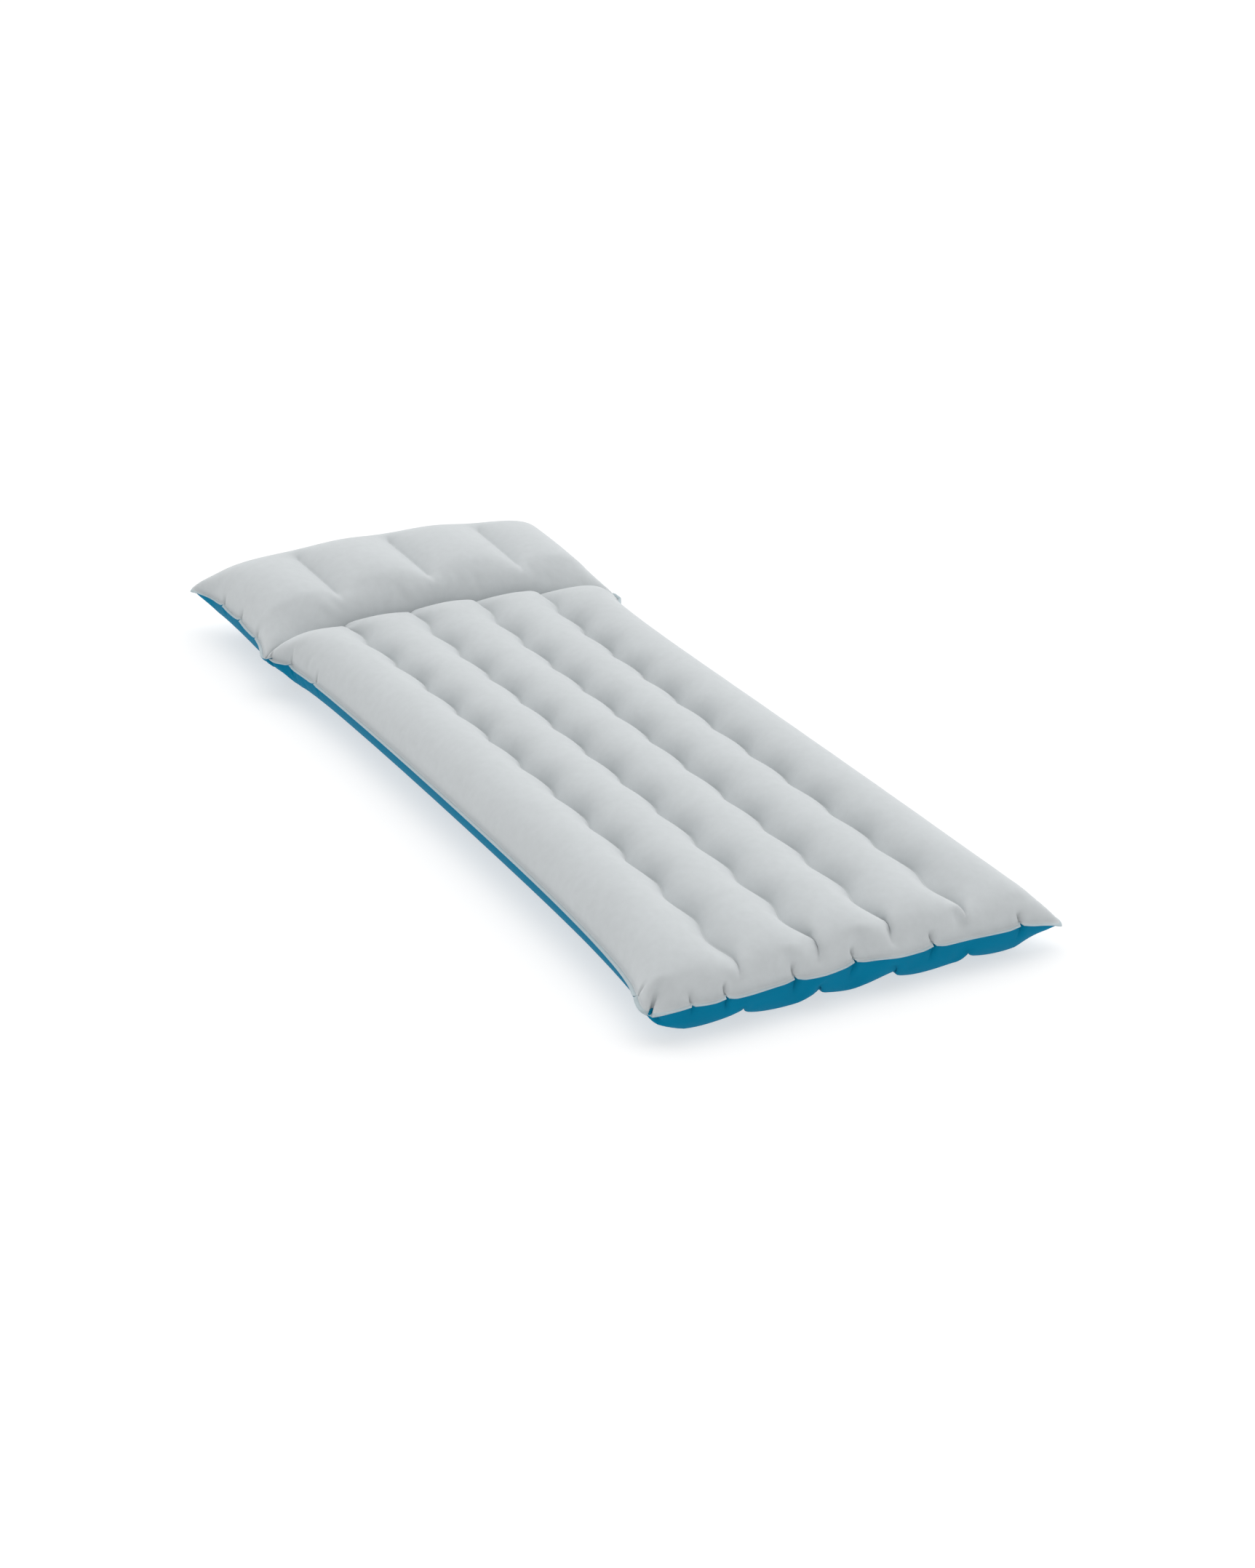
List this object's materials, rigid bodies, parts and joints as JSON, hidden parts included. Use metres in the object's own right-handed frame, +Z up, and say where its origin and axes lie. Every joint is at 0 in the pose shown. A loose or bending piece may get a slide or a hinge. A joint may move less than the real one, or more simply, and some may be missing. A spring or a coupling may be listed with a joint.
{
  "type": "air mattress",
  "caption": "Inflated camping air mattress: lengthwise wave-seamed air columns, raised built-in pillow, welded edge and two-stage valve in the head wall.",
  "frame": {"origin": "centre of the footprint, on the floor", "axes": "+Z up, +Y along the length towards the pillow, +X across the width"},
  "size_m": [0.75, 1.84, 0.174],
  "materials": {
    "grey_top": "light grey fabric laminated to vinyl film, smooth and matt",
    "blue_bottom": "mid blue fabric laminated to vinyl film, smooth and matt",
    "edge_weld": "pale blue fused margin of the two sheets",
    "web_film": "plain grey vinyl film",
    "valve_vinyl": "moulded soft blue vinyl",
    "flap_rubber": "thin dark rubber"
  },
  "bodies": {
    "mattress": {"body_top_panel": "grey_top", "pillow_top_panel": "grey_top", "bottom_panel": "blue_bottom", "perimeter_weld": "edge_weld", "wave_beam_1": "web_film", "wave_beam_2": "web_film", "wave_beam_3": "web_film", "wave_beam_4": "web_film", "pillow_baffle": "web_film", "pillow_tie_1": "web_film", "pillow_tie_2": "web_film", "pillow_tie_3": "web_film", "valve_base": "valve_vinyl"},
    "plug": {"valve_plug": "valve_vinyl"},
    "cap": {"inflation_cap": "valve_vinyl"},
    "flap": {"check_flap": "flap_rubber"}
  },
  "joints": [
    {"name": "valve_plug_pull", "type": "slide", "parent": "mattress", "child": "plug", "axis": [0, 1, 0], "range_m": [0, 0.022]},
    {"name": "inflation_cap_swing", "type": "hinge", "parent": "plug", "child": "cap", "pos_m": [0.155, 0.89401, 0.03], "axis": [0, 0, 1], "range_deg": [-150, 0]},
    {"name": "check_flap_swing", "type": "hinge", "parent": "plug", "child": "flap", "pos_m": [0.14, 0.87301, 0.0379], "axis": [1, 0, 0], "range_deg": [-70, 0], "stiffness_Nm_per_rad": 0.0005}
  ]
}
